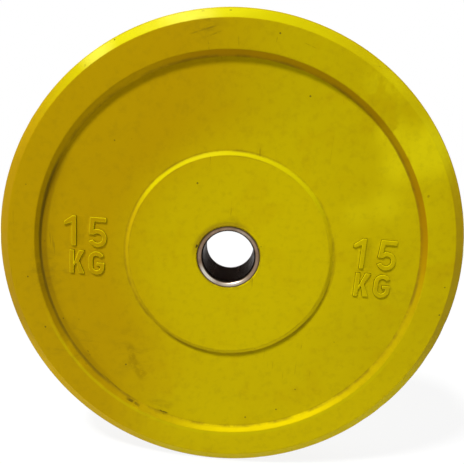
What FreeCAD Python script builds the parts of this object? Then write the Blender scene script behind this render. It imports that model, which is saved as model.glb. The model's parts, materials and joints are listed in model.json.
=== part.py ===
import FreeCAD, Part
import math
import os

import Sketcher

# A 15 kg solid-rubber bumper plate. Each piece is drawn with its bore along the sketch Z axis and its
# front face towards +Z, and is then stood up on its tread: +Z up, front face towards -Y, and the origin
# in the middle of the bore.

# Driving sizes, in millimetres
SIZES = {
    "plate_radius": 225.0,
    "rim_thickness": 60.0,
    "edge_chamfer_width": 10.0,
    "edge_chamfer_depth": 5.0,
    "rim_band": 26.0,
    "rim_wall_run": 4.7,
    "web_depth": 4.5,
    "hub_radius": 97.5,
    "hub_wall_run": 3.8,
    "hub_height": 3.3,
    "bore_radius": 25.2,
    "sleeve_wall": 5.3,
    "sleeve_sink": 0.5,
    "mouth_round": 4.3,
    "disc_radius": 80.0,
    "disc_thickness": 6.0,
    "lock_circle_radius": 57.0,
    "lock_hole_radius": 10.0,
    "lock_hole_count": 8,
    "weld_leg": 5.0,
    "tread_round": 2.0,
    "soft_edge": 1.2,
    "mark_offset": 140.0,
    "mark_relief": 1.2,
    "digit_height": 30.0,
    "letter_height": 24.0,
    "row_gap": 4.0,
    "mark_stroke": 4.8,
}

# Sizes that follow from the driving ones
DERIVED = {
    "rim_face": "rim_thickness / 2",
    "tread_edge": "rim_face - edge_chamfer_depth",
    "rim_outer": "plate_radius - edge_chamfer_width",
    "rim_inner": "rim_outer - rim_band",
    "web_outer": "rim_inner - rim_wall_run",
    "web_face": "rim_face - web_depth",
    "hub_base": "hub_radius + hub_wall_run",
    "hub_face": "web_face + hub_height",
    "sleeve_radius": "bore_radius + sleeve_wall",
    "sleeve_length": "2 * (hub_face - sleeve_sink)",
    "disc_face": "disc_thickness / 2",
    "weld_radius": "sleeve_radius + weld_leg",
    "weld_top": "disc_face + weld_leg",
}

UPRIGHT = FreeCAD.Placement(
    FreeCAD.Vector(0, 0, 0),
    FreeCAD.Rotation(FreeCAD.Vector(1, 0, 0), 90),
)

doc = FreeCAD.newDocument("bumper_plate")


# The spreadsheet

def fill_sheet():
    """Put every driving size and every derived one in the sheet, each under its own name."""
    sheet = doc.addObject("Spreadsheet::Sheet", "Sizes")
    row = 1
    for name, value in SIZES.items():
        sheet.set("A%d" % row, name)
        sheet.set("B%d" % row, str(value))
        sheet.setAlias("B%d" % row, name)
        row += 1
    for name, formula in DERIVED.items():
        sheet.set("A%d" % row, name)
        sheet.set("B%d" % row, "=" + formula)
        sheet.setAlias("B%d" % row, name)
        row += 1
    doc.recompute()
    return sheet


sheet = fill_sheet()


def size(name):
    return float(sheet.get(name))


def bind(feature, prop, name):
    """Tie a property of a feature to a cell of the sheet."""
    feature.setExpression(prop, "Sizes." + name)


# Helpers for bodies and sketches

def new_body(label):
    body = doc.addObject("PartDesign::Body", label)
    body.Label = label
    return body


def origin_item(body, role):
    for item in body.Origin.OriginFeatures:
        if item.Role == role:
            return item
    raise ValueError("no " + role)


def new_sketch(body, name, plane):
    sketch = body.newObject("Sketcher::SketchObject", name)
    sketch.AttachmentSupport = [(origin_item(body, plane), "")]
    sketch.MapMode = "FlatFace"
    return sketch


def section_sketch(body, name, corners):
    """A closed half section in radius and height. Each corner is a pair of cell names, and a
    height of None lies on the plate's middle plane."""
    sketch = new_sketch(body, name, "XZ_Plane")
    points = []
    for radius, height in corners:
        z = 0.0 if height is None else size(height)
        points.append(FreeCAD.Vector(size(radius), z, 0))
    for i, start in enumerate(points):
        sketch.addGeometry(Part.LineSegment(start, points[(i + 1) % len(points)]))
    for i in range(len(points)):
        sketch.addConstraint(Sketcher.Constraint("Coincident", i, 2, (i + 1) % len(points), 1))
    for i, (radius, height) in enumerate(corners):
        across = sketch.addConstraint(Sketcher.Constraint("DistanceX", -1, 1, i, 1, points[i].x))
        bind(sketch, "Constraints[%d]" % across, radius)
        if height is None:
            sketch.addConstraint(Sketcher.Constraint("PointOnObject", i, 1, -1))
        else:
            up = sketch.addConstraint(Sketcher.Constraint("DistanceY", -1, 1, i, 1, points[i].y))
            bind(sketch, "Constraints[%d]" % up, height)
    return sketch


def circle_sketch(body, name, circles):
    """Circles on the plate's middle plane, each a pair of cell names: its distance from the bore
    axis, or None for one round the axis, and its radius."""
    sketch = new_sketch(body, name, "XY_Plane")
    for i, (offset, radius) in enumerate(circles):
        x = 0.0 if offset is None else size(offset)
        centre = FreeCAD.Vector(x, 0, 0)
        sketch.addGeometry(Part.Circle(centre, FreeCAD.Vector(0, 0, 1), size(radius)))
        if offset is None:
            sketch.addConstraint(Sketcher.Constraint("Coincident", i, 3, -1, 1))
        else:
            sketch.addConstraint(Sketcher.Constraint("PointOnObject", i, 3, -1))
            along = sketch.addConstraint(Sketcher.Constraint("DistanceX", -1, 1, i, 3, x))
            bind(sketch, "Constraints[%d]" % along, offset)
        round_it = sketch.addConstraint(Sketcher.Constraint("Radius", i, size(radius)))
        bind(sketch, "Constraints[%d]" % round_it, radius)
    return sketch


def revolve(body, name, sketch):
    turned = body.newObject("PartDesign::Revolution", name)
    turned.Profile = sketch
    turned.ReferenceAxis = (sketch, ["V_Axis"])
    turned.Angle = 360
    body.Tip = turned
    doc.recompute()
    return turned


def mirror_to_back(body, name, feature):
    """Repeat a front feature on the other side of the middle plane."""
    mirrored = body.newObject("PartDesign::Mirrored", name)
    mirrored.Originals = [feature]
    mirrored.MirrorPlane = (origin_item(body, "XY_Plane"), [""])
    body.Tip = mirrored
    doc.recompute()
    return mirrored


def polar_pattern(body, name, feature, count):
    pattern = body.newObject("PartDesign::PolarPattern", name)
    pattern.Originals = [feature]
    pattern.Axis = (origin_item(body, "Z_Axis"), [""])
    pattern.Angle = 360
    bind(pattern, "Occurrences", count)
    body.Tip = pattern
    doc.recompute()
    return pattern


def middle_pad(body, name, sketch, thickness):
    """A pad that is as thick on each side of the middle plane."""
    pad = body.newObject("PartDesign::Pad", name)
    pad.Profile = sketch
    pad.Midplane = True
    bind(pad, "Length", thickness)
    body.Tip = pad
    doc.recompute()
    return pad


def ring_edges(feature, radius, height):
    """The round edges of that radius that lie at that height on either side."""
    names = []
    for i, edge in enumerate(feature.Shape.Edges):
        curve = edge.Curve
        if not isinstance(curve, Part.Circle):
            continue
        on_axis = math.hypot(curve.Center.x, curve.Center.y) < 0.01
        same_radius = abs(curve.Radius - size(radius)) < 0.01
        same_height = abs(abs(curve.Center.z) - size(height)) < 0.01
        if on_axis and same_radius and same_height:
            names.append("Edge%d" % (i + 1))
    return names


def round_edges(body, name, feature, edges, radius):
    fillet = body.newObject("PartDesign::Fillet", name)
    fillet.Base = (feature, edges)
    bind(fillet, "Radius", radius)
    body.Tip = fillet
    doc.recompute()
    return fillet


# Outlines of the weight mark: plain block digits and letters, drawn anticlockwise from their own
# lower left corner

def arc(centre, radius, start, end):
    """An arc from start to end, in degrees, anticlockwise."""
    circle = Part.Circle(centre, FreeCAD.Vector(0, 0, 1), radius)
    return Part.ArcOfCircle(circle, math.radians(start), math.radians(end))


def at_angle(centre, radius, angle):
    turn = math.radians(angle)
    return centre + FreeCAD.Vector(radius * math.cos(turn), radius * math.sin(turn), 0)


def lines(points):
    """Straight edges from point to point, leaving out any of no length."""
    pairs = zip(points, points[1:])
    return [Part.LineSegment(a, b) for a, b in pairs if a.distanceToPoint(b) > 0.001]


def polygon(corners):
    points = [FreeCAD.Vector(x, y, 0) for x, y in corners]
    return lines(points + points[:1])


def outline_one(width, height, stroke):
    stem = width - stroke
    return polygon([
        (stem, 0),
        (width, 0),
        (width, height),
        (stem + 0.15 * stroke, height),
        (0, 0.80 * height),
        (0, 0.66 * height),
        (stem, 0.76 * height),
    ])


def outline_five(width, height, stroke):
    outer = width / 2
    inner = outer - stroke
    bowl = FreeCAD.Vector(outer, outer, 0)
    tail_angle = 200
    stem_foot = at_angle(bowl, inner, 140)
    stem_join = at_angle(bowl, outer, 112)
    stem_left = FreeCAD.Vector(0.03 * width, stem_foot.y, 0)
    top_left = FreeCAD.Vector(0.10 * width, height, 0)
    top_right = FreeCAD.Vector(0.97 * width, height, 0)
    bar_right = FreeCAD.Vector(0.97 * width, height - stroke, 0)
    bar_inner = FreeCAD.Vector(0.10 * width + stroke, height - stroke, 0)
    edges = lines([stem_join, bar_inner, bar_right, top_right, top_left, stem_left, stem_foot])
    edges.append(arc(bowl, inner, tail_angle - 360, 140))
    edges += lines([at_angle(bowl, inner, tail_angle), at_angle(bowl, outer, tail_angle)])
    edges.append(arc(bowl, outer, tail_angle - 360, 112))
    return edges


def outline_k(width, height, stroke):
    arm = 1.25 * stroke
    return polygon([
        (0, 0),
        (stroke, 0),
        (stroke, 0.29 * height),
        (0.44 * width, 0.42 * height),
        (width - arm, 0),
        (width, 0),
        (0.64 * width, 0.55 * height),
        (width, height),
        (width - arm, height),
        (stroke, 0.52 * height),
        (stroke, height),
        (0, height),
    ])


def outline_g(width, height, stroke):
    outer = width / 2
    inner = outer - stroke
    low = FreeCAD.Vector(outer, outer, 0)
    high = FreeCAD.Vector(outer, height - outer, 0)
    mouth_angle = 25
    bar_top = 0.54 * height
    edges = [arc(high, outer, mouth_angle, 180)]
    edges += lines([at_angle(high, outer, 180), at_angle(low, outer, 180)])
    edges.append(arc(low, outer, 180, 360))
    edges += lines([
        at_angle(low, outer, 0),
        FreeCAD.Vector(width, bar_top, 0),
        FreeCAD.Vector(outer, bar_top, 0),
        FreeCAD.Vector(outer, bar_top - 0.8 * stroke, 0),
        FreeCAD.Vector(width - stroke, bar_top - 0.8 * stroke, 0),
        at_angle(low, inner, 0),
    ])
    edges.append(arc(low, inner, 180, 360))
    edges += lines([at_angle(low, inner, 180), at_angle(high, inner, 180)])
    edges.append(arc(high, inner, mouth_angle, 180))
    edges += lines([at_angle(high, inner, mouth_angle), at_angle(high, outer, mouth_angle)])
    return edges


def draw_mark(sketch, centre_x):
    """One weight mark, the number over the unit, centred on the plate's middle height."""
    digit = size("digit_height")
    letter = size("letter_height")
    stroke = size("mark_stroke")
    digit_bottom = (letter - digit + size("row_gap")) / 2
    letter_bottom = digit_bottom - size("row_gap") - letter
    glyphs = [
        (outline_one(0.40 * digit, digit, stroke), -0.70 * digit, digit_bottom),
        (outline_five(0.62 * digit, digit, stroke), 0.08 * digit, digit_bottom),
        (outline_k(0.64 * letter, letter, stroke), -0.66 * letter, letter_bottom),
        (outline_g(0.68 * letter, letter, stroke), 0.12 * letter, letter_bottom),
    ]
    for edges, left, bottom in glyphs:
        for edge in edges:
            edge.translate(FreeCAD.Vector(centre_x + left, bottom, 0))
            sketch.addGeometry(edge)


def raise_marks(body, name, facing):
    """Both weight marks of one face. Facing is 1 on the front and -1 on the back, where they are
    turned about the plate's upright line so that they read the right way round."""
    sketch = new_sketch(body, name + "Sketch", "XY_Plane")
    turn = FreeCAD.Rotation(FreeCAD.Vector(0, 1, 0), 0 if facing > 0 else 180)
    sketch.AttachmentOffset = FreeCAD.Placement(FreeCAD.Vector(0, 0, 0), turn)
    sketch.setExpression("AttachmentOffset.Base.z", "%d * Sizes.web_face" % facing)
    for side in (-1, 1):
        draw_mark(sketch, side * size("mark_offset"))
    pad = body.newObject("PartDesign::Pad", name)
    pad.Profile = sketch
    bind(pad, "Length", "mark_relief")
    body.Tip = pad
    doc.recompute()
    return pad


# The pieces

def make_rubber_body():
    """The moulding: rim, web, hub and marks on both faces, closed round the steel insert."""
    body = new_body("rubber_body")
    section = section_sketch(body, "RubberSection", [
        ("disc_radius", None),
        ("plate_radius", None),
        ("plate_radius", "tread_edge"),
        ("rim_outer", "rim_face"),
        ("rim_inner", "rim_face"),
        ("web_outer", "web_face"),
        ("hub_base", "web_face"),
        ("hub_radius", "hub_face"),
        ("sleeve_radius", "hub_face"),
        ("sleeve_radius", "weld_top"),
        ("weld_radius", "disc_face"),
        ("disc_radius", "disc_face"),
    ])
    front = revolve(body, "FrontHalf", section)
    disc = mirror_to_back(body, "BackHalf", front)
    columns = circle_sketch(body, "LockSketch", [("lock_circle_radius", "lock_hole_radius")])
    first = middle_pad(body, "LockColumn", columns, "disc_thickness")
    locked = polar_pattern(body, "LockColumns", first, "lock_hole_count")
    tread_rings = ring_edges(locked, "plate_radius", "tread_edge")
    tread_rings += ring_edges(locked, "rim_outer", "rim_face")
    treaded = round_edges(body, "TreadEdges", locked, tread_rings, "tread_round")
    face_rings = ring_edges(treaded, "rim_inner", "rim_face")
    face_rings += ring_edges(treaded, "web_outer", "web_face")
    face_rings += ring_edges(treaded, "hub_base", "web_face")
    face_rings += ring_edges(treaded, "hub_radius", "hub_face")
    round_edges(body, "FaceEdges", treaded, face_rings, "soft_edge")
    raise_marks(body, "FrontMarks", 1)
    raise_marks(body, "BackMarks", -1)
    return body


def make_bore_sleeve():
    """The steel tube that slides on the bar, with both mouths rounded to lead it on."""
    body = new_body("bore_sleeve")
    rings = circle_sketch(body, "SleeveSketch", [(None, "sleeve_radius"), (None, "bore_radius")])
    tube = middle_pad(body, "Tube", rings, "sleeve_length")
    mouths = []
    for i, edge in enumerate(tube.Shape.Edges):
        if isinstance(edge.Curve, Part.Circle) and abs(edge.Curve.Radius - size("bore_radius")) < 0.01:
            mouths.append("Edge%d" % (i + 1))
    round_edges(body, "Mouths", tube, mouths, "mouth_round")
    return body


def make_anchor_disc():
    """The steel disc in the middle of the rubber, holed so that the rubber locks through it."""
    body = new_body("anchor_disc")
    rings = circle_sketch(body, "DiscSketch", [(None, "disc_radius"), (None, "sleeve_radius")])
    middle_pad(body, "Disc", rings, "disc_thickness")
    hole = circle_sketch(body, "HoleSketch", [("lock_circle_radius", "lock_hole_radius")])
    pocket = body.newObject("PartDesign::Pocket", "LockHole")
    pocket.Profile = hole
    pocket.Type = "ThroughAll"
    pocket.Midplane = True
    body.Tip = pocket
    doc.recompute()
    polar_pattern(body, "LockHoles", pocket, "lock_hole_count")
    return body


def make_weld(label, facing):
    """A fillet weld bead in the corner between the sleeve and one side of the disc."""
    body = new_body(label)
    section = section_sketch(body, label + "Section", [
        ("sleeve_radius", "disc_face"),
        ("weld_radius", "disc_face"),
        ("sleeve_radius", "weld_top"),
    ])
    revolve(body, label + "Bead", section)
    if facing < 0:
        turn = FreeCAD.Rotation(FreeCAD.Vector(1, 0, 0), 180)
        body.Placement = FreeCAD.Placement(FreeCAD.Vector(0, 0, 0), turn)
    return body


pieces = [
    make_rubber_body(),
    make_bore_sleeve(),
    make_anchor_disc(),
    make_weld("weld_front", 1),
    make_weld("weld_back", -1),
]

# Stand the plate up on its tread
for piece in pieces:
    piece.Placement = UPRIGHT.multiply(piece.Placement)
doc.recompute()

# Check every feature, then write each piece to its own file
for item in doc.Objects:
    if "Invalid" in item.State or "Error" in item.State:
        raise RuntimeError("%s is not valid" % item.Name)
os.makedirs("parts", exist_ok=True)
for piece in pieces:
    if piece.Shape.isNull() or not piece.Shape.isValid():
        raise RuntimeError("%s has no valid shape" % piece.Label)
    piece.Shape.exportStep("parts/%s.step" % piece.Label)
    print("%s: %.1f cm3 in %d solid" % (piece.Label, piece.Shape.Volume / 1000, len(piece.Shape.Solids)))
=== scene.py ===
import json
import math
import random

import bmesh
import bpy
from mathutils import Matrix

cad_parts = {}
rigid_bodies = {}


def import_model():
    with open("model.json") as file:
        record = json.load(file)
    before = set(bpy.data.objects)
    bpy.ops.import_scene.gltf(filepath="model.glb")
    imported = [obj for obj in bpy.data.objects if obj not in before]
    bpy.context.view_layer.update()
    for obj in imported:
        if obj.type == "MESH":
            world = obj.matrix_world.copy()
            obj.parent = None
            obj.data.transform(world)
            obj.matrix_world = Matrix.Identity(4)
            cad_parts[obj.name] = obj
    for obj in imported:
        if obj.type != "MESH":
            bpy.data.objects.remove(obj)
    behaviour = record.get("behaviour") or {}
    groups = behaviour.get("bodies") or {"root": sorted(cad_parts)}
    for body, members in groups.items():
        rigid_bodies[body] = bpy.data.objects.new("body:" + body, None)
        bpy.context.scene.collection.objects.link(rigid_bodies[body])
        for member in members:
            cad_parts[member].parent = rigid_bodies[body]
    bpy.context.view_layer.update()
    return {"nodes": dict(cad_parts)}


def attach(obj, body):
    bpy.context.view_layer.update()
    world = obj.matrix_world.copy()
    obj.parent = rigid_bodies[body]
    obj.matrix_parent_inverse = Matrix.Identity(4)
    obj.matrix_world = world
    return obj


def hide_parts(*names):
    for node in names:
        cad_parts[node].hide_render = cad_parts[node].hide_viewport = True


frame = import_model()

# Rubber plate
# One disc of dense yellow rubber, pressed and cured in a two-part steel mould
# round the insert. Tread, rim, web, hub and weight marks are one piece, and
# the rubber also fills the lock holes of the steel disc buried in it.

MM = 0.001
SEAM = 0.00001
LATHE_STEPS = 360

# Radii of the mould's corners, and distances of its faces from the middle plane
TREAD, CHAMFER, RIM_TOP, RIM_FOOT = 224.9, 215.0, 189.0, 184.3
HUB_FOOT, HUB_TOP, DISC, INSERT = 101.3, 97.5, 80.0, 30.5
RIM_FACE, HUB_FACE, WEB, DISC_FACE = 30.0, 28.8, 25.5, 3.0

# Radius, distance in front of the middle plane and softness of each corner,
# from the edge of the buried disc, along the insert, over the face to the tread
front_of_mould = [
    (DISC, 0.0, 0), (DISC, DISC_FACE, 0), (35.5, DISC_FACE, 0), (INSERT, 8.0, 0),
    (INSERT, 28.2, 0), (30.85, 28.7, 0.15), (31.6, 29.0, 0.3), (33.0, HUB_FACE, 0.5),
]
front_of_mould += [(r, HUB_FACE, 0) for r in (34.4, 36, 38, 42, 50, 60, 70, 80, 88, 93)]
front_of_mould += [(HUB_TOP, HUB_FACE, 0.8), (HUB_FOOT, WEB, 0.7)]
front_of_mould += [(r, WEB, 0) for r in (105, 112, 124, 140, 156, 168, 177, 181.5)]
front_of_mould += [(RIM_FOOT, WEB, 0.7), (RIM_TOP, RIM_FACE, 0.8)]
front_of_mould += [(r, RIM_FACE, 0) for r in (192, 197, 204, 210)]
front_of_mould += [(CHAMFER, RIM_FACE, 0.7), (219.0, 28.0, 0), (TREAD, 25.05, 1.3)]
front_of_mould += [(TREAD, depth, 0) for depth in (18, 10, 4)]
front_of_mould += [(TREAD, 2.2, 0.3), (224.5, 1.4, 0.3), (224.97, 0.6, 0.15), (224.97, 0.0, 0)]


def start_clean():
    """Leaves object mode with nothing selected."""
    if bpy.context.object and bpy.context.object.mode != "OBJECT":
        bpy.ops.object.mode_set(mode="OBJECT")
    bpy.ops.object.select_all(action="DESELECT")


def pick(piece):
    """Makes one piece the selected and active one."""
    start_clean()
    piece.select_set(True)
    bpy.context.view_layer.objects.active = piece


def select_nearest(piece, place):
    """Selects the one vertex nearest to a place, in edit mode."""
    mesh = bmesh.from_edit_mesh(piece.data)
    for vert in mesh.verts:
        vert.select = False
    mesh.select_flush(False)
    min(mesh.verts, key=lambda v: sum((a - b) ** 2 for a, b in zip(v.co, place))).select = True
    bmesh.update_edit_mesh(piece.data)


def draw_section(name, corners):
    """Draws a section as a chain of edges, radius along X and depth along -Y, with soft corners."""
    start_clean()
    radius, depth, _ = corners[0]
    bpy.ops.mesh.primitive_plane_add(size=MM, location=(radius * MM, -depth * MM, 0))
    piece = bpy.context.object
    piece.name = piece.data.name = name
    bpy.ops.object.transform_apply(location=True)
    bpy.ops.object.mode_set(mode="EDIT")
    bpy.ops.mesh.select_all(action="SELECT")
    bpy.ops.mesh.merge(type="CENTER")
    for (r0, d0, _), (r1, d1, _) in zip(corners, corners[1:]):
        step = ((r1 - r0) * MM, (d0 - d1) * MM, 0)
        bpy.ops.mesh.extrude_region_move(TRANSFORM_OT_translate={"value": step})
    for radius, depth, softness in corners:
        if softness:
            select_nearest(piece, (radius * MM, -depth * MM, 0))
            bpy.ops.mesh.bevel(offset=softness * MM, segments=4, affect="VERTICES")
    return piece


def turn_on_lathe(steps):
    """Spins the section in edit mode right round the bore's axis and closes the seam."""
    bpy.ops.mesh.select_all(action="SELECT")
    bpy.ops.mesh.spin(steps=steps, angle=2 * math.pi, center=(0, 0, 0), axis=(0, 1, 0))
    bpy.ops.mesh.select_all(action="SELECT")
    bpy.ops.mesh.remove_doubles(threshold=SEAM)


def mirror_to_back():
    """Copies the front half in edit mode to the back, and joins the two at the middle plane."""
    bpy.ops.mesh.duplicate()
    bpy.ops.transform.resize(value=(1, -1, 1), center_override=(0, 0, 0))
    bpy.ops.mesh.select_all(action="SELECT")
    bpy.ops.mesh.remove_doubles(threshold=SEAM)
    bpy.ops.mesh.normals_make_consistent(inside=False)


def join_named(start):
    """Joins all pieces whose names start alike into one, and returns it."""
    for piece in [o for o in bpy.data.objects if o.name.startswith(start)]:
        piece.select_set(True)
    bpy.ops.object.join()
    return bpy.context.object


def combine(piece, tool, operation):
    """Joins a closed shape to the piece, or cuts it out of it, and removes the tool."""
    pick(piece)
    bpy.ops.object.modifier_add(type="BOOLEAN")
    cut = piece.modifiers[-1]
    cut.operation, cut.object, cut.solver = operation, tool, "MANIFOLD"
    bpy.ops.object.modifier_apply(modifier=cut.name)
    bpy.data.objects.remove(tool)


rubber = draw_section("rubber_plate", front_of_mould)
turn_on_lathe(LATHE_STEPS)
mirror_to_back()

# Shallow places where the cured rubber sank or was knocked in while soft:
# angle round the axis in degrees, radius, depth, width of the hollow, all mm
front_hollows = [(66 + 6 * n, 35.0, 0.30 - 0.02 * abs(n - 4), 3.6) for n in range(9)]
front_hollows += [
    (16.0, 98.6, 0.4, 5.0),
    (-112.0, 187.6, 0.5, 6.0), (-118.5, 187.4, 0.9, 6.5), (-124.0, 187.8, 0.4, 7.0),
    (-131.0, 187.8, 0.6, 8.0), (-140.0, 187.8, 0.5, 8.0), (-147.0, 187.6, 0.7, 7.0),
    (-158.0, 188.0, 0.4, 9.0), (-104.0, 186.0, 0.4, 5.0),
]
back_hollows = [
    (37.0, 187.8, 0.6, 7.0), (44.0, 187.6, 0.4, 6.0), (121.0, 98.4, 0.5, 6.0),
    (-63.0, 187.9, 0.5, 8.0), (205.0, 214.2, 0.5, 9.0), (150.0, 187.7, 0.4, 6.0),
]
FIRST_FACE_CORNER = 5


def face_depth(radius):
    """Distance of the moulded face from the middle plane at a radius, in mm."""
    face = front_of_mould[FIRST_FACE_CORNER:]
    for (r0, d0, _), (r1, d1, _) in zip(face, face[1:]):
        if r0 <= radius <= r1:
            return d0 + (d1 - d0) * (radius - r0) / (r1 - r0)
    return 0.0


def on_face(angle, radius, side, lift=0.0):
    """A place on the front (side -1) or back (side 1) face, in metres."""
    turn = math.radians(angle)
    depth = face_depth(radius) + lift
    return (radius * MM * math.cos(turn), side * depth * MM, radius * MM * math.sin(turn))


def press_in(piece, place, push, width):
    """Moves the vertex nearest to a place, and smoothly those round it."""
    select_nearest(piece, place)
    bpy.ops.transform.translate(
        value=push, use_proportional_edit=True,
        proportional_edit_falloff="SMOOTH", proportional_size=width * MM,
    )


for side, hollows in ((-1, front_hollows), (1, back_hollows)):
    for angle, radius, depth, width in hollows:
        press_in(rubber, on_face(angle, radius, side), (0, -side * depth * MM, 0), width)

# The tread takes the drops, so its edges are knocked in here and there
KNOCKS, KNOCK_RADIUS, KNOCK_LEVEL = 26, 224.0, 25.0
chance = random.Random(15)
for _ in range(KNOCKS):
    turn, side = chance.uniform(0, 2 * math.pi), chance.choice((-1, 1))
    outward = (math.cos(turn), 0, math.sin(turn))
    edge_place = [KNOCK_RADIUS * MM * part for part in outward]
    edge_place[1] = side * KNOCK_LEVEL * MM
    push = -chance.uniform(0.08, 0.26) * MM
    press_in(rubber, edge_place, [push * part for part in outward], chance.uniform(5, 11))

# Rubber that ran through the eight lock holes of the buried disc
LOCK_HOLES, LOCK_CIRCLE, LOCK_HOLE_RADIUS, PLUG_LENGTH = 8, 57.0, 10.0, 7.2
start_clean()
for n in range(LOCK_HOLES):
    turn = 2 * math.pi * n / LOCK_HOLES
    bpy.ops.mesh.primitive_cylinder_add(
        vertices=48, radius=LOCK_HOLE_RADIUS * MM, depth=PLUG_LENGTH * MM,
        rotation=(math.pi / 2, 0, 0),
        location=(LOCK_CIRCLE * MM * math.cos(turn), 0, LOCK_CIRCLE * MM * math.sin(turn)),
    )
    bpy.context.object.name = f"lock_plug_{n}"
combine(rubber, join_named("lock_plug_"), "UNION")

# The raised 15 over KG: the frame gives the outline of each figure, which is
# sunk into the web and drawn up again with sloping sides and a rounded top
MARK_TOP, MARK_ROOT = 26.7, 24.9
MARK_OFFSET, MARK_REACH = 140.0, 30.0
start_clean()
marks = frame["nodes"]["rubber_body"].copy()
marks.data = marks.data.copy()
marks.name = "weight_marks"
bpy.context.scene.collection.objects.link(marks)
marks.parent = None
pick(marks)
bpy.ops.object.mode_set(mode="EDIT")
bpy.ops.mesh.select_all(action="SELECT")
bpy.ops.mesh.remove_doubles(threshold=SEAM)
mesh = bmesh.from_edit_mesh(marks.data)
for face in mesh.faces:
    middle = face.calc_center_median()
    at_top = abs(abs(middle.y) - MARK_TOP * MM) < SEAM and abs(face.normal.y) > 0.99
    beside_centre = abs(abs(middle.x) - MARK_OFFSET * MM) < MARK_REACH * MM
    in_field = beside_centre and abs(middle.z) < MARK_REACH * MM
    face.select_set(not (at_top and in_field))
bmesh.update_edit_mesh(marks.data)
bpy.ops.mesh.delete(type="FACE")
bpy.ops.mesh.select_all(action="SELECT")
bpy.ops.mesh.dissolve_limited(angle_limit=math.radians(1))
bpy.ops.transform.resize(value=(1, MARK_ROOT / MARK_TOP, 1), center_override=(0, 0, 0))
bpy.ops.mesh.extrude_region_shrink_fatten(
    TRANSFORM_OT_shrink_fatten={"value": (WEB - MARK_ROOT) * MM}
)
for narrowing, rise in ((0.15, 0.50), (0.20, 0.38), (0.20, 0.20), (0.22, 0.10)):
    bpy.ops.mesh.inset(thickness=narrowing * MM, depth=rise * MM)
bpy.ops.mesh.select_all(action="SELECT")
bpy.ops.mesh.normals_make_consistent(inside=False)
combine(rubber, marks, "UNION")

# Chips and nicks: angle, radius, then the size along the radius, round the
# rim and into the face, and how far the middle of the bite stands off the face
front_chips = [
    (-116.8, 188.4, 1.0, 3.0, 0.8, 0.2), (-107.2, 184.9, 0.7, 2.4, 0.7, 0.2),
    (-137.5, 186.4, 0.6, 2.2, 0.6, 0.1),
    (164.2, 31.5, 0.7, 0.8, 0.9, 0.1), (66.4, 31.3, 0.6, 1.3, 0.8, 0.2),
    (-18.4, 163.6, 0.5, 0.6, 0.5, 0.1), (-3.8, 162.6, 0.5, 0.6, 0.4, 0.1),
    (98.6, 214.0, 0.9, 1.6, 0.6, 0.3), (148.0, 215.2, 0.8, 2.4, 0.6, 0.3),
    (-160.0, 189.4, 0.6, 1.8, 0.6, 0.2), (35.0, 188.9, 0.6, 2.0, 0.5, 0.2),
]
back_chips = [
    (41.0, 188.6, 0.9, 2.6, 0.7, 0.2), (128.0, 98.9, 0.9, 1.2, 0.6, 0.2),
    (-72.0, 188.9, 0.7, 2.0, 0.6, 0.2), (-20.0, 215.0, 0.9, 2.2, 0.6, 0.3),
    (200.0, 31.4, 0.6, 1.2, 0.7, 0.2), (95.0, 214.6, 0.9, 1.5, 0.6, 0.2),
]
VENT_CIRCLE, FRONT_VENT_ANGLE = 194.4, 22.3


def bite(side, angle, radius, along_radius, round_rim, into, stand_off):
    """A rough pebble shape that bites a nick out of the rubber."""
    bpy.ops.mesh.primitive_ico_sphere_add(
        subdivisions=2, radius=1.0, location=on_face(angle, radius, side, stand_off),
        rotation=(0, -math.radians(angle), 0),
        scale=(along_radius * MM, into * MM, round_rim * MM),
    )
    for vert in bpy.context.object.data.vertices:
        vert.co *= chance.uniform(0.72, 1.15)
    bpy.context.object.name = "nick_tool"


def vent_mark(side, angle):
    """A tool for the shallow ring that a vent plug of the mould leaves."""
    bpy.ops.mesh.primitive_torus_add(
        major_radius=1.0 * MM, minor_radius=0.34 * MM, major_segments=32, minor_segments=12,
        location=on_face(angle, VENT_CIRCLE, side, 0.05), rotation=(math.pi / 2, 0, 0),
    )
    bpy.ops.object.transform_apply(rotation=True)
    bpy.context.object.name = "nick_tool"


start_clean()
for side, chips in ((-1, front_chips), (1, back_chips)):
    for chip in chips:
        bite(side, *chip)
for side, angle in ((-1, FRONT_VENT_ANGLE), (1, 68.0), (1, 188.0), (1, -52.0)):
    vent_mark(side, angle)
combine(rubber, join_named("nick_tool"), "DIFFERENCE")

pick(rubber)
bpy.ops.object.shade_smooth_by_angle(angle=math.radians(40))
bpy.ops.object.modifier_add(type="WEIGHTED_NORMAL")
rubber.modifiers[-1].keep_sharp = True
bpy.ops.object.modifier_apply(modifier=rubber.modifiers[-1].name)


def new_finish(name):
    """A material with an empty node tree."""
    finish = bpy.data.materials.new(name)
    finish.use_nodes = True
    finish.node_tree.nodes.clear()
    return finish, finish.node_tree


def add_node(tree, kind, inputs=(), **settings):
    """Adds a node, sets its options, and fills or links its inputs."""
    made = tree.nodes.new("ShaderNode" + kind)
    for option, value in settings.items():
        setattr(made, option, value)
    for key, value in dict(inputs).items():
        if isinstance(value, bpy.types.NodeSocket):
            tree.links.new(value, made.inputs[key])
        else:
            made.inputs[key].default_value = value
    return made


def maths(tree, operation, *values):
    """The result of a Math node."""
    return add_node(tree, "Math", enumerate(values), operation=operation).outputs[0]


def product(tree, first, *others):
    """Values multiplied together, such as masks and their strengths."""
    result = first
    for other in others:
        result = maths(tree, "MULTIPLY", result, other)
    return result


def between(tree, value, low, high, out_low=0.0, out_high=1.0):
    """Turns a value smoothly from one range into another."""
    inputs = {0: value, 1: low, 2: high, 3: out_low, 4: out_high}
    return add_node(tree, "MapRange", inputs, interpolation_type="SMOOTHSTEP").outputs[0]


def grows(tree, distance, start, full, least=0.0, most=1.0):
    """A mask that grows with a distance, from a start to where it is full, both in mm."""
    return between(tree, distance, start * MM, full * MM, least, most)


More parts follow.
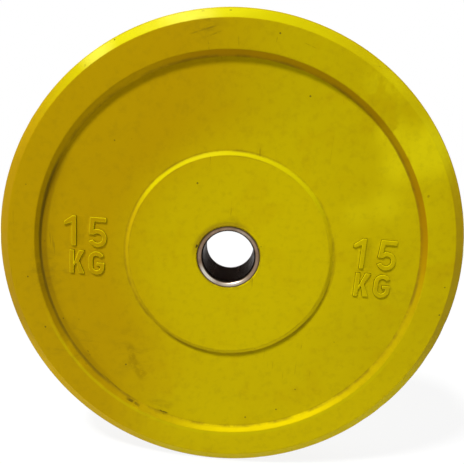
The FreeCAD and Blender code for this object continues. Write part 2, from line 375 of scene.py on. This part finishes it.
def band(tree, distance, start, full, full_to, end):
    """A mask that is full from one distance to another and fades at both ends, all in mm."""
    return product(tree, grows(tree, distance, start, full), grows(tree, distance, end, full_to))


def tint(tree, factor, under, over):
    """Lays one colour over another by a factor."""
    return add_node(tree, "Mix", {0: factor, 6: under, 7: over}, data_type="RGBA").outputs[2]


def grain(tree, place, scale, detail=2.0, roughness=0.5, distortion=0.0):
    """A soft noise from 0 to 1."""
    inputs = {
        "Vector": place, "Scale": scale, "Detail": detail,
        "Roughness": roughness, "Distortion": distortion,
    }
    return add_node(tree, "TexNoise", inputs).outputs[0]


def moved(tree, place, shift=(0, 0, 0), turn=(0, 0, 0), stretch=(1, 1, 1)):
    """The place shifted, turned and stretched, so that a pattern lies as wanted."""
    inputs = {"Vector": place, "Location": shift, "Rotation": turn, "Scale": stretch}
    return add_node(tree, "Mapping", inputs).outputs[0]


def turned_place(tree):
    """The place on a turned piece, its parts, its place across the face, and its radius."""
    place = add_node(tree, "TexCoord").outputs["Object"]
    split = add_node(tree, "SeparateXYZ", {0: place})
    flat = add_node(tree, "VectorMath", {0: place, 1: (1, 0, 1)}, operation="MULTIPLY")
    across = flat.outputs[0]
    radius = add_node(tree, "VectorMath", {0: across}, operation="LENGTH").outputs["Value"]
    return place, split, across, radius


def spot(tree, across, x, z, inner, outer):
    """A mask round a place on the face, with x, z and the two radii of its edge in mm."""
    middle = (x * MM, 0, z * MM)
    apart = add_node(tree, "VectorMath", {0: across, 1: middle}, operation="DISTANCE")
    return grows(tree, apart.outputs["Value"], inner, outer, 1.0, 0.0)


def along(tree, across, angle):
    """How far a place lies toward one side of the plate, the angle in degrees from its right."""
    way = (math.cos(math.radians(angle)), 0, math.sin(math.radians(angle)))
    reach = add_node(tree, "VectorMath", {0: across, 1: way}, operation="DOT_PRODUCT")
    return reach.outputs["Value"]


def scrape(tree, across, x, z, angle, reach, width):
    """A mask along a short straight scrape, with its place and half sizes in mm."""
    masks = []
    for way, size in ((angle, reach), (angle + 90, width)):
        turn = math.radians(way)
        middle = (x * math.cos(turn) + z * math.sin(turn)) * MM
        off = maths(tree, "ABSOLUTE", maths(tree, "SUBTRACT", along(tree, across, way), middle))
        masks.append(grows(tree, off, size * 0.4, size, 1.0, 0.0))
    return product(tree, *masks)


def end_in_shader(tree, inputs):
    """Ends the tree in one shader with these inputs."""
    shader = add_node(tree, "BsdfPrincipled", inputs)
    add_node(tree, "OutputMaterial", {"Surface": shader.outputs[0]})


def dress(piece, finish):
    """Gives a piece its one finish."""
    piece.data.materials.clear()
    piece.data.materials.append(finish)


# Yellow rubber, as dull and uneven as it comes out of the mould, then handled
clean_yellow = (0.548, 0.432, 0.001, 1)
web_yellow = (0.503, 0.394, 0.001, 1)
olive_yellow = (0.478, 0.366, 0.001, 1)
low_yellow = (0.560, 0.440, 0.001, 1)
ochre = (0.432, 0.264, 0.001, 1)
# Painted orange shade for the rim's inner wall
painted_shade_orange = (0.335, 0.150, 0.001, 1)
# Painted light and shade for the chamfer: orange light at the lower left, ochre shade on the tread's
# rounded edge, brown shade at the sides
painted_light_orange = (0.640, 0.410, 0.001, 1)
painted_shade_ochre = (0.400, 0.260, 0.001, 1)
painted_shade_brown = (0.330, 0.180, 0.001, 1)
pale_yellow = (0.640, 0.540, 0.003, 1)
# Painted highlights and light for the chamfer, the hub's edge, the rim's wall and lip, and the
# marks' crests
painted_highlight_yellow = (0.560, 0.492, 0.001, 1)
painted_light_pale = (0.660, 0.520, 0.001, 1)
painted_highlight_bright = (0.700, 0.660, 0.002, 1)
painted_crest_highlight = (0.700, 0.580, 0.001, 1)
painted_highlight_white = (0.860, 0.800, 0.090, 1)
# Dirt, also used for painted shade in the corners and round the insert
dirt_and_shade_brown = (0.190, 0.118, 0.006, 1)
# Scuffs, also used for painted shade on the rim's wall, along its foot on the left and outside the
# hub's foot
scuff_and_shade_brown = (0.200, 0.108, 0.002, 1)
ground_in = (0.085, 0.052, 0.004, 1)
# Painted shade with some dirt for the sides of the marks
dirt_and_shade_dark = (0.048, 0.029, 0.001, 1)
black_mark = (0.045, 0.034, 0.008, 1)

yellow_finish, tree = new_finish("yellow_rubber")
place, split, across, radius = turned_place(tree)
x_side, z_side = split.outputs["X"], split.outputs["Z"]
face_level = maths(tree, "ABSOLUTE", split.outputs["Y"])
front_side = grows(tree, split.outputs["Y"], 1, -1)
clouds = grain(tree, place, 9.0, 3.0, 0.55)
patches = grain(tree, moved(tree, place, (0.31, 0.0, 0.12)), 26.0, 4.0, 0.6, 0.4)
speckle = grain(tree, place, 140.0, 4.0, 0.65)

# The moulded colour: clearest at the hub, ochre to the left, lighter towards the lower left
colour = tint(tree, between(tree, clouds, 0.36, 0.66), olive_yellow, web_yellow)
colour = tint(tree, product(tree, grows(tree, radius, 150, 85), 0.85), colour, clean_yellow)
leftward = maths(tree, "SUBTRACT", maths(tree, "MULTIPLY", z_side, 0.13), x_side)
left_side = grows(tree, leftward, -45, 95, 0.0, 0.90)
left_side = product(tree, left_side, grows(tree, radius, 60, 135, 0.25, 1.0))
colour = tint(tree, left_side, colour, ochre)
low_part = product(tree, grows(tree, z_side, -40, -180, 0.0, 0.74), grows(tree, x_side, -145, -10))
colour = tint(tree, low_part, colour, low_yellow)
colour = tint(tree, product(tree, between(tree, patches, 0.52, 0.72), 0.22), colour, ochre)

# Patches worn pale at the upper right: x, z, radii of the soft edge, strength
worn_thin = between(tree, patches, 0.53, 0.60, 1.0, 0.15)
for x, z, inner, outer, strength in (
    (175, 116, 10, 38, 1.0), (152, 100, 4, 28, 0.85), (140, 126, 4, 24, 0.70),
    (128, 170, 6, 30, 0.45), (143, 62, 3, 24, 0.50), (118, 52, 3, 20, 0.40),
    (160, 80, 10, 60, 0.20),
):
    worn = product(tree, spot(tree, across, x, z, inner, outer), worn_thin, strength)
    colour = tint(tree, worn, colour, pale_yellow)
colour = tint(tree, product(tree, between(tree, speckle, 0.45, 0.75), 0.16), colour, dirt_and_shade_brown)

# The chamfer at the edge: painted highlights above, painted light below and to the lower left, and
# painted shade at the sides and on the tread's rounded edge
chamfer_slope = grows(tree, radius, CHAMFER - 0.4, CHAMFER + 0.4)
above = product(
    tree, grows(tree, z_side, 60, 140), grows(tree, x_side, -200, -130),
    grows(tree, x_side, 0, 120, 1.0, 0.25),
)
very_edge = product(
    tree, grows(tree, radius, TREAD - 1.8, TREAD - 1.1), grows(tree, face_level, 23.6, 24.4)
)
for mask, strength, painted_tone in (
    (above, 1.0, painted_highlight_yellow),
    (grows(tree, along(tree, across, 108), 200, 217), 0.45, painted_highlight_bright),
    (grows(tree, along(tree, across, -70), 60, 180), 1.0, painted_light_pale),
    (grows(tree, along(tree, across, -130), 190, 221), 0.75, painted_light_orange),
    (spot(tree, across, -131, 179, 3, 24), 0.50, painted_highlight_white),
    (spot(tree, across, -52, 216, 5, 34), 0.45, painted_highlight_white),
    (very_edge, 0.50, painted_shade_ochre),
    (grows(tree, maths(tree, "ABSOLUTE", z_side), 125, 60), 0.42, painted_shade_brown),
):
    colour = tint(tree, product(tree, chamfer_slope, mask, strength), colour, painted_tone)

# The edge of the hub: a painted highlight above, painted light at the lower right, and a painted
# shadow on the web just outside its foot at the lower right
hub_slope = band(tree, radius, HUB_TOP - 0.7, HUB_TOP + 0.3, HUB_FOOT - 0.4, HUB_FOOT + 0.6)
hub_below = band(tree, radius, HUB_FOOT - 0.1, HUB_FOOT + 0.5, HUB_FOOT + 2.5, HUB_FOOT + 3.5)
for ring, mask, strength, painted_tone in (
    (hub_slope, grows(tree, z_side, 30, 70), 0.85, painted_highlight_yellow),
    (hub_slope, grows(tree, along(tree, across, -30), 45, 85), 0.85, painted_light_pale),
    (hub_below, grows(tree, along(tree, across, -60), 20, 70), 0.30, scuff_and_shade_brown),
):
    colour = tint(tree, product(tree, ring, mask, strength), colour, painted_tone)

# The inner wall of the rim: painted orange shade above and to the right, a painted
# highlight at the very bottom and on its lip, and darker in three places
rim_slope = band(tree, radius, RIM_FOOT - 1.1, RIM_FOOT + 0.3, RIM_TOP - 0.6, RIM_TOP + 0.6)
rim_lip = band(tree, radius, RIM_TOP + 0.8, RIM_TOP + 1.5, RIM_TOP + 3.2, RIM_TOP + 4.2)
for ring, mask, strength, painted_tone in (
    (rim_slope, grows(tree, along(tree, across, 50), 60, 140), 0.66, painted_shade_orange),
    (rim_slope, spot(tree, across, 172, 62, 10, 80), 0.45, painted_shade_orange),
    (rim_slope, grows(tree, along(tree, across, -75), 155, 178), 0.70, painted_light_pale),
    (rim_slope, spot(tree, across, -85, -166, 40, 100), 0.30, scuff_and_shade_brown),
    (rim_slope, spot(tree, across, -176, -64, 15, 55), 0.40, scuff_and_shade_brown),
    (rim_slope, spot(tree, across, 160, -95, 30, 100), 0.25, scuff_and_shade_brown),
    (rim_lip, grows(tree, z_side, -60, -110), 0.36, painted_highlight_yellow),
):
    colour = tint(tree, product(tree, ring, mask, strength), colour, painted_tone)

# Darker strip of web along the foot of the rim on the left: a painted shadow with scuffs
left_foot = product(
    tree, grows(tree, x_side, -95, -140), grows(tree, z_side, 105, 60),
    grows(tree, z_side, -20, -90, 1.0, 0.55),
)
under_rim = grows(tree, radius, RIM_FOOT + 1.3, RIM_FOOT + 0.3)
for start, strength in ((RIM_FOOT - 18.3, 0.16), (RIM_FOOT - 7.5, 0.56)):
    strip = product(tree, grows(tree, radius, start, RIM_FOOT - 4.3), left_foot, under_rim, strength)
    colour = tint(tree, strip, colour, scuff_and_shade_brown)
# A dark line of dirt and painted shade in the crease at the rim's foot, on the left
off_foot = maths(tree, "ABSOLUTE", maths(tree, "SUBTRACT", radius, (RIM_FOOT + 0.5) * MM))
crease_dirt_and_shade = product(tree, grows(tree, off_foot, 0.4, 1.6, 1.0, 0.0), left_foot, 0.50)
colour = tint(tree, crease_dirt_and_shade, colour, black_mark)

# Dirt and painted shade in the corners of the rim, the hub and the insert, and along the hub's top
# edge
corner_noise = between(tree, grain(tree, place, 34.0, 5.0, 0.7), 0.34, 0.66)
for foot, reach, strength in (
    (RIM_FOOT + 0.3, 2.0, 0.70), (HUB_FOOT + 0.3, 2.0, 0.50),
    (HUB_TOP - 0.6, 1.1, 0.30), (INSERT + 0.4, 1.2, 0.90),
):
    off = maths(tree, "ABSOLUTE", maths(tree, "SUBTRACT", radius, foot * MM))
    corner_dirt_and_shade = product(tree, grows(tree, off, reach * 0.1, reach, 1.0, 0.0), corner_noise, strength)
    colour = tint(tree, corner_dirt_and_shade, colour, dirt_and_shade_brown)

# Painted shade with some dirt on the sloping sides of the raised marks, heavier on the right mark,
# and painted highlights on their crests
on_web = band(tree, radius, HUB_FOOT + 1.7, HUB_FOOT + 3.2, RIM_FOOT - 2.8, RIM_FOOT - 1.3)
mark_side_shade = band(tree, face_level, WEB + 0.01, WEB + 0.06, WEB + 0.65, WEB + 0.90)
mark_side_shade = product(tree, mark_side_shade, grows(tree, x_side, -50, 50, 0.66, 1.0), on_web)
colour = tint(tree, mark_side_shade, colour, dirt_and_shade_dark)
mark_crest_highlight = band(
    tree, face_level, MARK_TOP - 0.50, MARK_TOP - 0.30, MARK_TOP - 0.08, MARK_TOP - 0.02
)
colour = tint(tree, product(tree, mark_crest_highlight, on_web, 0.95), colour, painted_crest_highlight)

# Painted shade with grease round the upper left of the insert, where the rubber sank above it
insert_shade_and_grease = product(
    tree, grows(tree, radius, INSERT + 6.7, INSERT + 1.7),
    grows(tree, along(tree, across, 120), 10, 26), 0.62,
)
colour = tint(tree, insert_shade_and_grease, colour, dirt_and_shade_brown)

# Hand and floor smudges: x, z, radii of the soft edge, strength
smear_place = moved(tree, place, turn=(0, 0.6, 0), stretch=(1, 1, 2.4))
smears = between(tree, grain(tree, smear_place, 42.0, 5.0, 0.7, 0.6), 0.46, 0.68)
for x, z, inner, outer, strength in (
    (-88, -109, 8, 38, 0.25), (-176, -30, 4, 30, 0.55), (-150, -105, 5, 40, 0.35),
    (-60, -168, 3, 30, 0.25), (-35, 202, 2, 22, 0.40), (160, -22, 2, 24, 0.30),
    (0, 33, 2, 20, 0.25),
):
    smudge = product(tree, spot(tree, across, x, z, inner, outer), smears, strength)
    colour = tint(tree, smudge, colour, dirt_and_shade_brown)

# The scrapes and knocks on the front that can be told apart in the photograph:
# x, z, the way each one runs, its half length and half width, strength, stain
broken = between(tree, grain(tree, place, 260.0, 3.0, 0.6), 0.34, 0.56)
for x, z, angle, reach, width, strength, stain in (
    (-36, 203, 20, 15, 0.9, 0.62, dirt_and_shade_brown), (-27, 200, 24, 9, 0.8, 0.45, dirt_and_shade_brown),
    (-5, 196, 95, 5, 0.5, 0.45, dirt_and_shade_brown), (28, 199, 85, 3, 0.5, 0.45, dirt_and_shade_brown),
    (-88, -164.5, -29, 10, 1.3, 0.80, ground_in), (-57, -173.8, -18, 8, 1.2, 0.85, ground_in),
    (-136, -114, -62, 4, 0.8, 0.70, ground_in), (-112, -145, -42, 16, 0.7, 0.50, ground_in),
    (-85, -127, -54, 18, 7.0, 0.36, scuff_and_shade_brown), (-92, -110, -78, 12, 5.0, 0.30, scuff_and_shade_brown),
    (-38, 219, 8, 1.8, 0.8, 0.70, black_mark), (-14, 221, 3, 1.5, 0.7, 0.60, black_mark),
    (-31, 190, 100, 5, 0.5, 0.45, dirt_and_shade_brown), (58, 196, -20, 7, 0.5, 0.40, dirt_and_shade_brown),
):
    line = scrape(tree, across, x, z, angle, reach, width)
    colour = tint(tree, product(tree, line, front_side, strength, broken), colour, stain)
notch = product(tree, scrape(tree, across, -31.2, 8.9, 74, 2.4, 1.1), front_side, 0.95)
colour = tint(tree, notch, colour, black_mark)
vent_turn = math.radians(FRONT_VENT_ANGLE)
vent_x, vent_z = VENT_CIRCLE * math.cos(vent_turn), VENT_CIRCLE * math.sin(vent_turn)
vent_dirt = product(tree, spot(tree, across, vent_x, vent_z, 0.6, 1.7), front_side, 0.40)
colour = tint(tree, vent_dirt, colour, dirt_and_shade_brown)


def dots(tree, place, scale, colour_part, chosen_from, chosen_full, inner, outer):
    """A mask of sparse round dots: how closely they lie, how many are kept, and their size."""
    cells = add_node(tree, "TexVoronoi", {"Vector": place, "Scale": scale, "Randomness": 1.0})
    parts = add_node(tree, "SeparateColor", {0: cells.outputs["Color"]})
    chosen = between(tree, parts.outputs[colour_part], chosen_from, chosen_full)
    return product(tree, between(tree, cells.outputs["Distance"], inner, outer, 1.0, 0.0), chosen)


# Sparse dark dots and fine scratches
dot = dots(tree, place, 62.0, 0, 0.80, 0.82, 0.035, 0.075)
colour = tint(tree, product(tree, dot, 0.8), colour, black_mark)
small_dot = dots(tree, moved(tree, place, (0.7, 0.3, 0.9)), 95.0, 1, 0.80, 0.86, 0.03, 0.09)
colour = tint(tree, product(tree, small_dot, 0.45), colour, dirt_and_shade_brown)
scratches = 0.0
for turn, seed, stretch in (
    (0.35, 0.7, (55, 55, 3)), (1.25, 1.9, (50, 50, 3)), (-0.7, 3.1, (60, 60, 4)),
):
    line_place = moved(tree, place, (seed, seed, seed), (0, turn, 0), stretch)
    lines = between(tree, grain(tree, line_place, 9.0, 1.0, 0.4), 0.735, 0.775)
    field = between(tree, grain(tree, moved(tree, place, (seed, 0, seed)), 16.0, 2.0), 0.60, 0.70)
    scratches = maths(tree, "MAXIMUM", scratches, product(tree, lines, field))
colour = tint(tree, product(tree, scratches, 0.55), colour, dirt_and_shade_brown)

# The tread is the dirtiest part, rubbed by floors and racks
on_tread = grows(tree, radius, TREAD - 1.3, TREAD - 0.7)
tread_marks = grain(tree, moved(tree, place, stretch=(1, 7, 1)), 34.0, 7.0, 0.75, 0.2)
tread_dirt = product(tree, on_tread, between(tree, tread_marks, 0.40, 0.78), 0.55)
colour = tint(tree, tread_dirt, colour, dirt_and_shade_brown)

# Moulded rubber swells a little, has fine pores, and is nowhere glossy
dullness = between(tree, grain(tree, place, 60.0, 4.0, 0.6), 0.3, 0.7, 0.36, 0.52)
swell = grain(tree, place, 22.0, 2.0, 0.5)
pores = grain(tree, place, 900.0, 3.0, 0.6)
height = maths(tree, "ADD", swell, product(tree, pores, 0.05))
height = maths(tree, "SUBTRACT", height, product(tree, scratches, 0.10))
height = maths(tree, "SUBTRACT", height, product(tree, dot, 0.12))
relief = add_node(tree, "Bump", {"Height": height, "Distance": 0.0012, "Strength": 0.6})
end_in_shader(tree, {
    "Base Color": colour, "Roughness": dullness, "Normal": relief.outputs[0],
    "Specular IOR Level": 0.035, "Specular Tint": (1.0, 0.93, 0.06, 1), "IOR": 1.5,
})
dress(rubber, yellow_finish)
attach(rubber, "root")
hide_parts("rubber_body")

# Bore sleeve
# The stainless steel tube that runs on the bar. Turned on a lathe from thick
# tube, with both mouths rounded so that the bar finds its way in, and held
# in the rubber by the disc welded round its middle.

BORE, SLEEVE_END = 25.2, 28.3
SLEEVE_STEPS = 256
sleeve_half = [
    (BORE, 0.0, 0), (BORE, 12.0, 0), (BORE, 22.0, 0), (BORE, 24.0, 0),
    (25.53, 25.65, 0), (26.46, 27.04, 0), (27.85, 27.97, 0),
    (29.5, SLEEVE_END, 0.3), (30.1, 28.28, 0.2),
    (INSERT, 27.8, 0.2), (INSERT, 14.0, 0), (INSERT, 0.0, 0),
]
sleeve = draw_section("bore_sleeve_turned", sleeve_half)
turn_on_lathe(SLEEVE_STEPS)
mirror_to_back()
pick(sleeve)
bpy.ops.object.shade_smooth_by_angle(angle=math.radians(35))

turned_steel = (0.300, 0.205, 0.140, 1)
stained_steel = (0.190, 0.125, 0.075, 1)
# Painted reflection on the mouth
painted_glint_steel = (0.640, 0.600, 0.500, 1)
edge_grime = (0.070, 0.044, 0.014, 1)
# Painted shade for the bore; grime at the joint, and painted shade at the lip and in the bore's
# streaks
painted_shade_bore = (0.040, 0.036, 0.033, 1)
grime_and_shade_steel = (0.022, 0.018, 0.016, 1)

steel_finish, tree = new_finish("turned_stainless_steel")
place, split, across, radius = turned_place(tree)
depth = maths(tree, "ABSOLUTE", split.outputs["Y"])
rings = add_node(tree, "CombineXYZ", {0: radius, 1: split.outputs["Y"], 2: 0.0}).outputs[0]
tool_lines = grain(tree, rings, 5200.0, 2.0, 0.6)
stains = grain(tree, place, 110.0, 4.0, 0.65)
streaks = grain(tree, moved(tree, place, stretch=(1, 0.06, 1)), 420.0, 3.0, 0.6)
colour = tint(tree, between(tree, stains, 0.35, 0.70), turned_steel, stained_steel)

# Painted reflections on the mouth, at the lower left, the bottom and faintly at the upper right: x,
# z, radii of the edge, strength
mouth = band(tree, radius, 26.2, 27.0, 29.0, 29.8)
for x, z, inner, outer, strength in (
    (-20, -20, 4, 15, 0.95), (6, -27, 4, 22, 0.55), (14, 24, 2, 16, 0.25),
):
    mouth_glint = product(tree, spot(tree, across, x, z, inner, outer), mouth, strength)
    colour = tint(tree, mouth_glint, colour, painted_glint_steel)

# Grime at the rubber's edge and a dark joint, painted shade at the inner lip, and the bore painted
# dark for the shade and dark reflections inside it, with streaks
for mask, strength, grime in (
    (grows(tree, radius, 28.6, 29.7), 0.70, edge_grime),
    (grows(tree, radius, 29.8, 30.3), 0.80, grime_and_shade_steel),
    (grows(tree, radius, 26.8, 25.9), 0.80, grime_and_shade_steel),
):
    colour = tint(tree, product(tree, mask, strength), colour, grime)
in_bore = product(tree, grows(tree, radius, 26.2, 25.3), grows(tree, depth, 26.2, 24.8))
bore_shade_colour = tint(tree, between(tree, streaks, 0.36, 0.70), painted_shade_bore, grime_and_shade_steel)
colour = tint(tree, in_bore, colour, bore_shade_colour)
gloss = maths(tree, "ADD", between(tree, stains, 0.3, 0.7, 0.20, 0.34), product(tree, streaks, 0.10))
relief = add_node(tree, "Bump", {"Height": tool_lines, "Distance": 0.00003, "Strength": 0.5})
end_in_shader(tree, {
    "Base Color": colour, "Metallic": 1.0, "Roughness": gloss, "Normal": relief.outputs[0],
    "Specular Tint": (0.30, 0.28, 0.27, 1),
})
dress(sleeve, steel_finish)
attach(sleeve, "root")
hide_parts("bore_sleeve")

# Anchor disc
# A ring of 6 mm mild steel plate with eight lock holes, buried in the rubber.
# Cut from sheet, then blasted and primed so that the rubber bonds to it.

primer_grey = (0.085, 0.080, 0.078, 1)
primer_brown = (0.17, 0.12, 0.085, 1)

anchor_finish, tree = new_finish("primed_mild_steel")
place = add_node(tree, "TexCoord").outputs["Object"]
blasted = grain(tree, place, 1500.0, 4.0, 0.7)
primer = grain(tree, place, 60.0, 4.0, 0.6)
colour = tint(tree, between(tree, primer, 0.35, 0.68), primer_grey, primer_brown)
relief = add_node(tree, "Bump", {"Height": blasted, "Distance": 0.0001, "Strength": 0.6})
end_in_shader(tree, {
    "Base Color": colour, "Metallic": 0.7, "Normal": relief.outputs[0],
    "Roughness": between(tree, primer, 0.3, 0.7, 0.48, 0.70),
})
dress(frame["nodes"]["anchor_disc"], anchor_finish)

# Weld beads
# One fillet bead on each side of the disc, run by hand right round the
# sleeve, with the ripples and the heat tint that a bead keeps.

RIPPLES = 140.0
bead_grey = (0.36, 0.34, 0.33, 1)
heat_brown = (0.21, 0.15, 0.12, 1)

weld_finish, tree = new_finish("weld_bead_steel")
place = add_node(tree, "TexCoord").outputs["Object"]
split = add_node(tree, "SeparateXYZ", {0: place})
angle = maths(tree, "ARCTAN2", split.outputs["Z"], split.outputs["X"])
ripples = maths(tree, "SINE", product(tree, angle, RIPPLES))
heat = grain(tree, place, 240.0, 3.0, 0.6)
colour = tint(tree, between(tree, heat, 0.35, 0.68), bead_grey, heat_brown)
relief = add_node(tree, "Bump", {"Height": ripples, "Distance": 0.00025, "Strength": 0.8})
end_in_shader(tree, {
    "Base Color": colour, "Metallic": 0.9, "Normal": relief.outputs[0],
    "Roughness": between(tree, heat, 0.3, 0.7, 0.30, 0.52),
})
for bead in ("weld_front", "weld_back"):
    dress(frame["nodes"][bead], weld_finish)

# Floor
# A plain white studio sweep that the plate stands on. It shows white to the
# camera and in the steel, lights the plate only a little, and keeps a shadow.

FLOOR_LEVEL, FLOOR_RADIUS = -0.225, 2.6

start_clean()
bpy.ops.mesh.primitive_circle_add(vertices=96, radius=FLOOR_RADIUS, fill_type="NGON")
floor = bpy.context.object
floor.name = "studio_floor"
bpy.ops.object.mode_set(mode="EDIT")
bpy.ops.transform.translate(value=(0, 0, FLOOR_LEVEL))
start_clean()


def seen_directly(tree):
    """1 for what the camera, a reflection or a clear piece looks at, 0 for light that spreads."""
    rays = add_node(tree, "LightPath").outputs
    seen = maths(tree, "MAXIMUM", rays["Is Camera Ray"], rays["Is Glossy Ray"])
    return maths(tree, "MAXIMUM", seen, rays["Is Transmission Ray"])


floor_finish, tree = new_finish("white_sweep")
paper = add_node(tree, "BsdfDiffuse", {"Color": (0.80, 0.80, 0.80, 1)}).outputs[0]
glow = add_node(tree, "Emission", {"Color": (1, 1, 1, 1), "Strength": 1.0}).outputs[0]
shown = add_node(tree, "MixShader", {0: 0.88, 1: paper, 2: glow}).outputs[0]
quiet = add_node(tree, "BsdfDiffuse", {"Color": (0.63, 0.63, 0.63, 1)}).outputs[0]
sweep = add_node(tree, "MixShader", {0: seen_directly(tree), 1: quiet, 2: shown}).outputs[0]
add_node(tree, "OutputMaterial", {"Surface": sweep})
floor.data.materials.append(floor_finish)

# Studio light and camera
# One lamp above and a little to the left, close to the plane of the face, in a
# room that is dim in front and bright behind. The camera stands where the
# photograph was taken.

KEY_POWER, KEY_SIZE, KEY_DISTANCE = 495.0, 0.75, 6.0
KEY_TILT, KEY_LEFT = math.radians(69.5), math.radians(22)
ROOM_FRONT, ROOM_BEHIND = 0.08, 0.90
CAMERA_PLACE = (0.00892, -0.434, 0.10927)
CAMERA_TURN = (78.285, -4.278, 1.896)
CAMERA_LENS, CAMERA_SENSOR = 33.672, 36.0

room = bpy.data.worlds.new("studio_room")
bpy.context.scene.world = room
room.use_nodes = True
tree = room.node_tree
tree.nodes.clear()
way = add_node(tree, "SeparateXYZ", {0: add_node(tree, "TexCoord").outputs["Generated"]})
lit_room = between(tree, way.outputs["Y"], -0.25, 0.25, ROOM_FRONT, ROOM_BEHIND)
levels = {0: seen_directly(tree), 2: lit_room, 3: 1.0}
level = add_node(tree, "Mix", levels, data_type="FLOAT").outputs[0]
around = add_node(tree, "Background", {"Color": (1, 1, 1, 1), "Strength": level})
add_node(tree, "OutputWorld", {"Surface": around.outputs[0]})

key_data = bpy.data.lights.new("key_lamp", "AREA")
key_data.energy, key_data.size = KEY_POWER, KEY_SIZE
key = bpy.data.objects.new("key_lamp", key_data)
bpy.context.scene.collection.objects.link(key)
toward_key = (
    -math.sin(KEY_LEFT) * math.sin(KEY_TILT),
    -math.cos(KEY_TILT),
    math.cos(KEY_LEFT) * math.sin(KEY_TILT),
)
key.location = [KEY_DISTANCE * part for part in toward_key]
key.rotation_mode = "QUATERNION"
key.rotation_quaternion = key.location.to_track_quat("Z", "Y")

camera_data = bpy.data.cameras.new("camera")
camera_data.lens, camera_data.sensor_width = CAMERA_LENS, CAMERA_SENSOR
camera_data.clip_start, camera_data.clip_end = 0.01, 60.0
camera = bpy.data.objects.new("camera", camera_data)
bpy.context.scene.collection.objects.link(camera)
camera.location = CAMERA_PLACE
camera.rotation_euler = [math.radians(a) for a in CAMERA_TURN]
bpy.context.scene.camera = camera
bpy.context.scene.view_settings.view_transform = "Standard"
